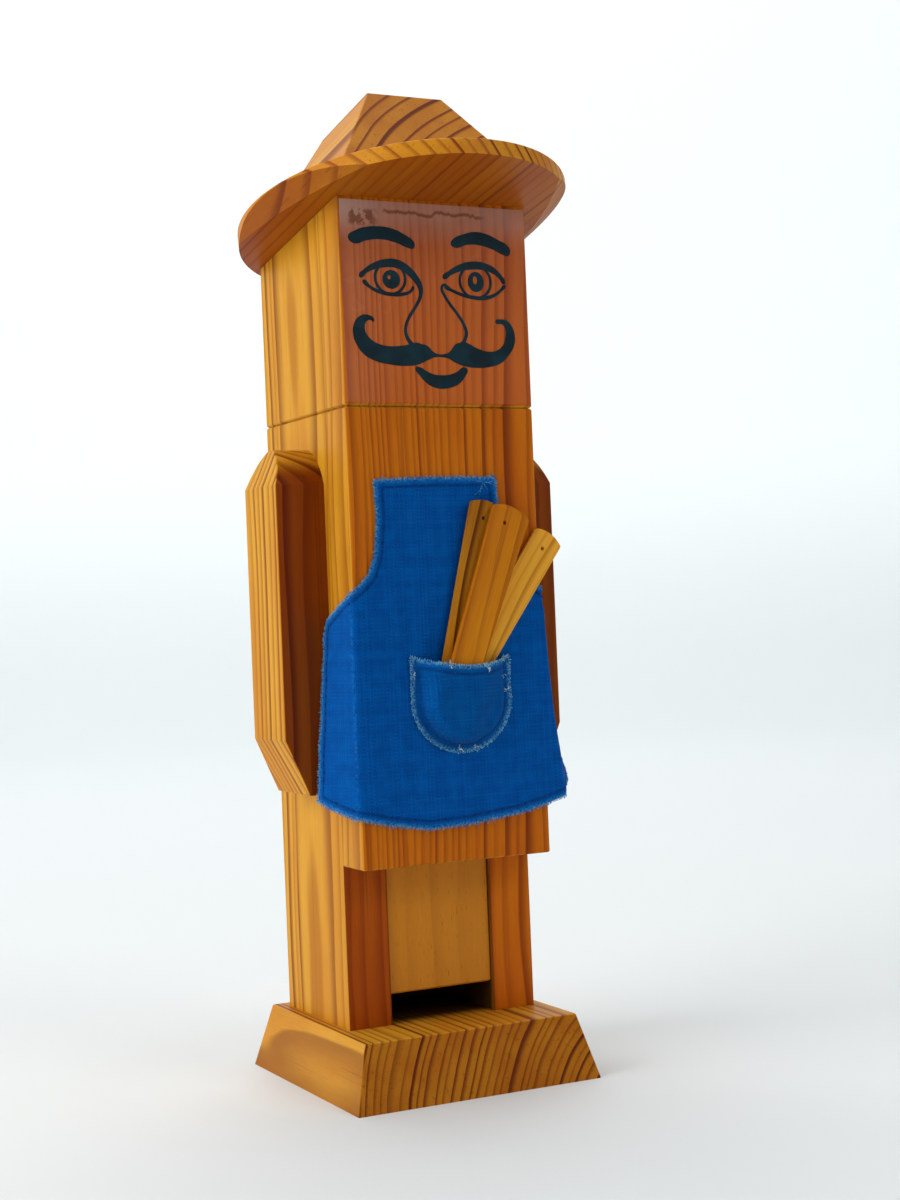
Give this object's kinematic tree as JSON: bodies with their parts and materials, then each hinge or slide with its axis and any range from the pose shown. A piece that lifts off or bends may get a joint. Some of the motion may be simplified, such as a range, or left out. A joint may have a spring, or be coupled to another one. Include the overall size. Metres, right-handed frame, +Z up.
{
  "type": "nutcracker",
  "caption": "Wooden press nutcracker as a standing figure: head with hat lifts on a square plunger over a nut chamber between the legs; canvas apron holds a small folding rule.",
  "frame": {"origin": "centre of the underside of the base", "axes": "+Z up, the face and apron look towards -Y, +X to the right seen from the front"},
  "size_m": [0.113, 0.1329, 0.3467],
  "materials": {
    "pine_front": "varnished",
    "pine_side": "varnished",
    "pine_back": "varnished",
    "pine_base": "varnished",
    "pine_hat": "varnished",
    "pine_arm": "varnished",
    "beech": "varnished",
    "beech_dowel": "plain",
    "slat_wood": "varnished",
    "film": "gloss",
    "canvas": "plain weave",
    "screw_steel": "zinc plated",
    "rivet_brass": "dull"
  },
  "bodies": {
    "column": {"base": "pine_base", "cheek_left": "pine_side", "cheek_right": "pine_side", "front_board": "pine_front", "back_board": "pine_back", "arm_left": "pine_arm", "arm_right": "pine_arm", "arm_dowels": "beech_dowel", "base_screws": "screw_steel", "stop_peg": "beech_dowel", "apron": "canvas", "pocket": "canvas"},
    "head": {"plunger": "beech", "head_front_board": "pine_front", "head_cheek_left": "pine_side", "head_cheek_right": "pine_side", "head_back_board": "pine_back", "face_film": "film", "hat_brim": "pine_hat", "hat_crown": "pine_hat", "hat_dowels": "beech_dowel", "head_pin": "beech_dowel"},
    "rule": {"rule_slat_front": "slat_wood", "rule_rivet": "rivet_brass"},
    "slat_second": {"rule_slat_second": "slat_wood"},
    "slat_left": {"rule_slat_left": "slat_wood"},
    "slat_right": {"rule_slat_right": "slat_wood"}
  },
  "joints": [
    {"name": "head_lift", "type": "slide", "parent": "column", "child": "head", "axis": [0, 0, 1], "range_m": [0, 0.045]},
    {"name": "rule_lift", "type": "slide", "parent": "column", "child": "rule", "axis": [0, 0, 1], "range_m": [0, 0.045]},
    {"name": "slat_second_turn", "type": "hinge", "parent": "rule", "child": "slat_second", "pos_m": [-0.0036, -0.041, 0.13], "axis": [0, -1, 0], "range_deg": [0, 3.1]},
    {"name": "slat_left_turn", "type": "hinge", "parent": "rule", "child": "slat_left", "pos_m": [-0.0036, -0.041, 0.13], "axis": [0, 1, 0], "range_deg": [0, 5.6]},
    {"name": "slat_right_turn", "type": "hinge", "parent": "rule", "child": "slat_right", "pos_m": [-0.0036, -0.041, 0.13], "axis": [0, -1, 0], "range_deg": [0, 16.5]}
  ]
}
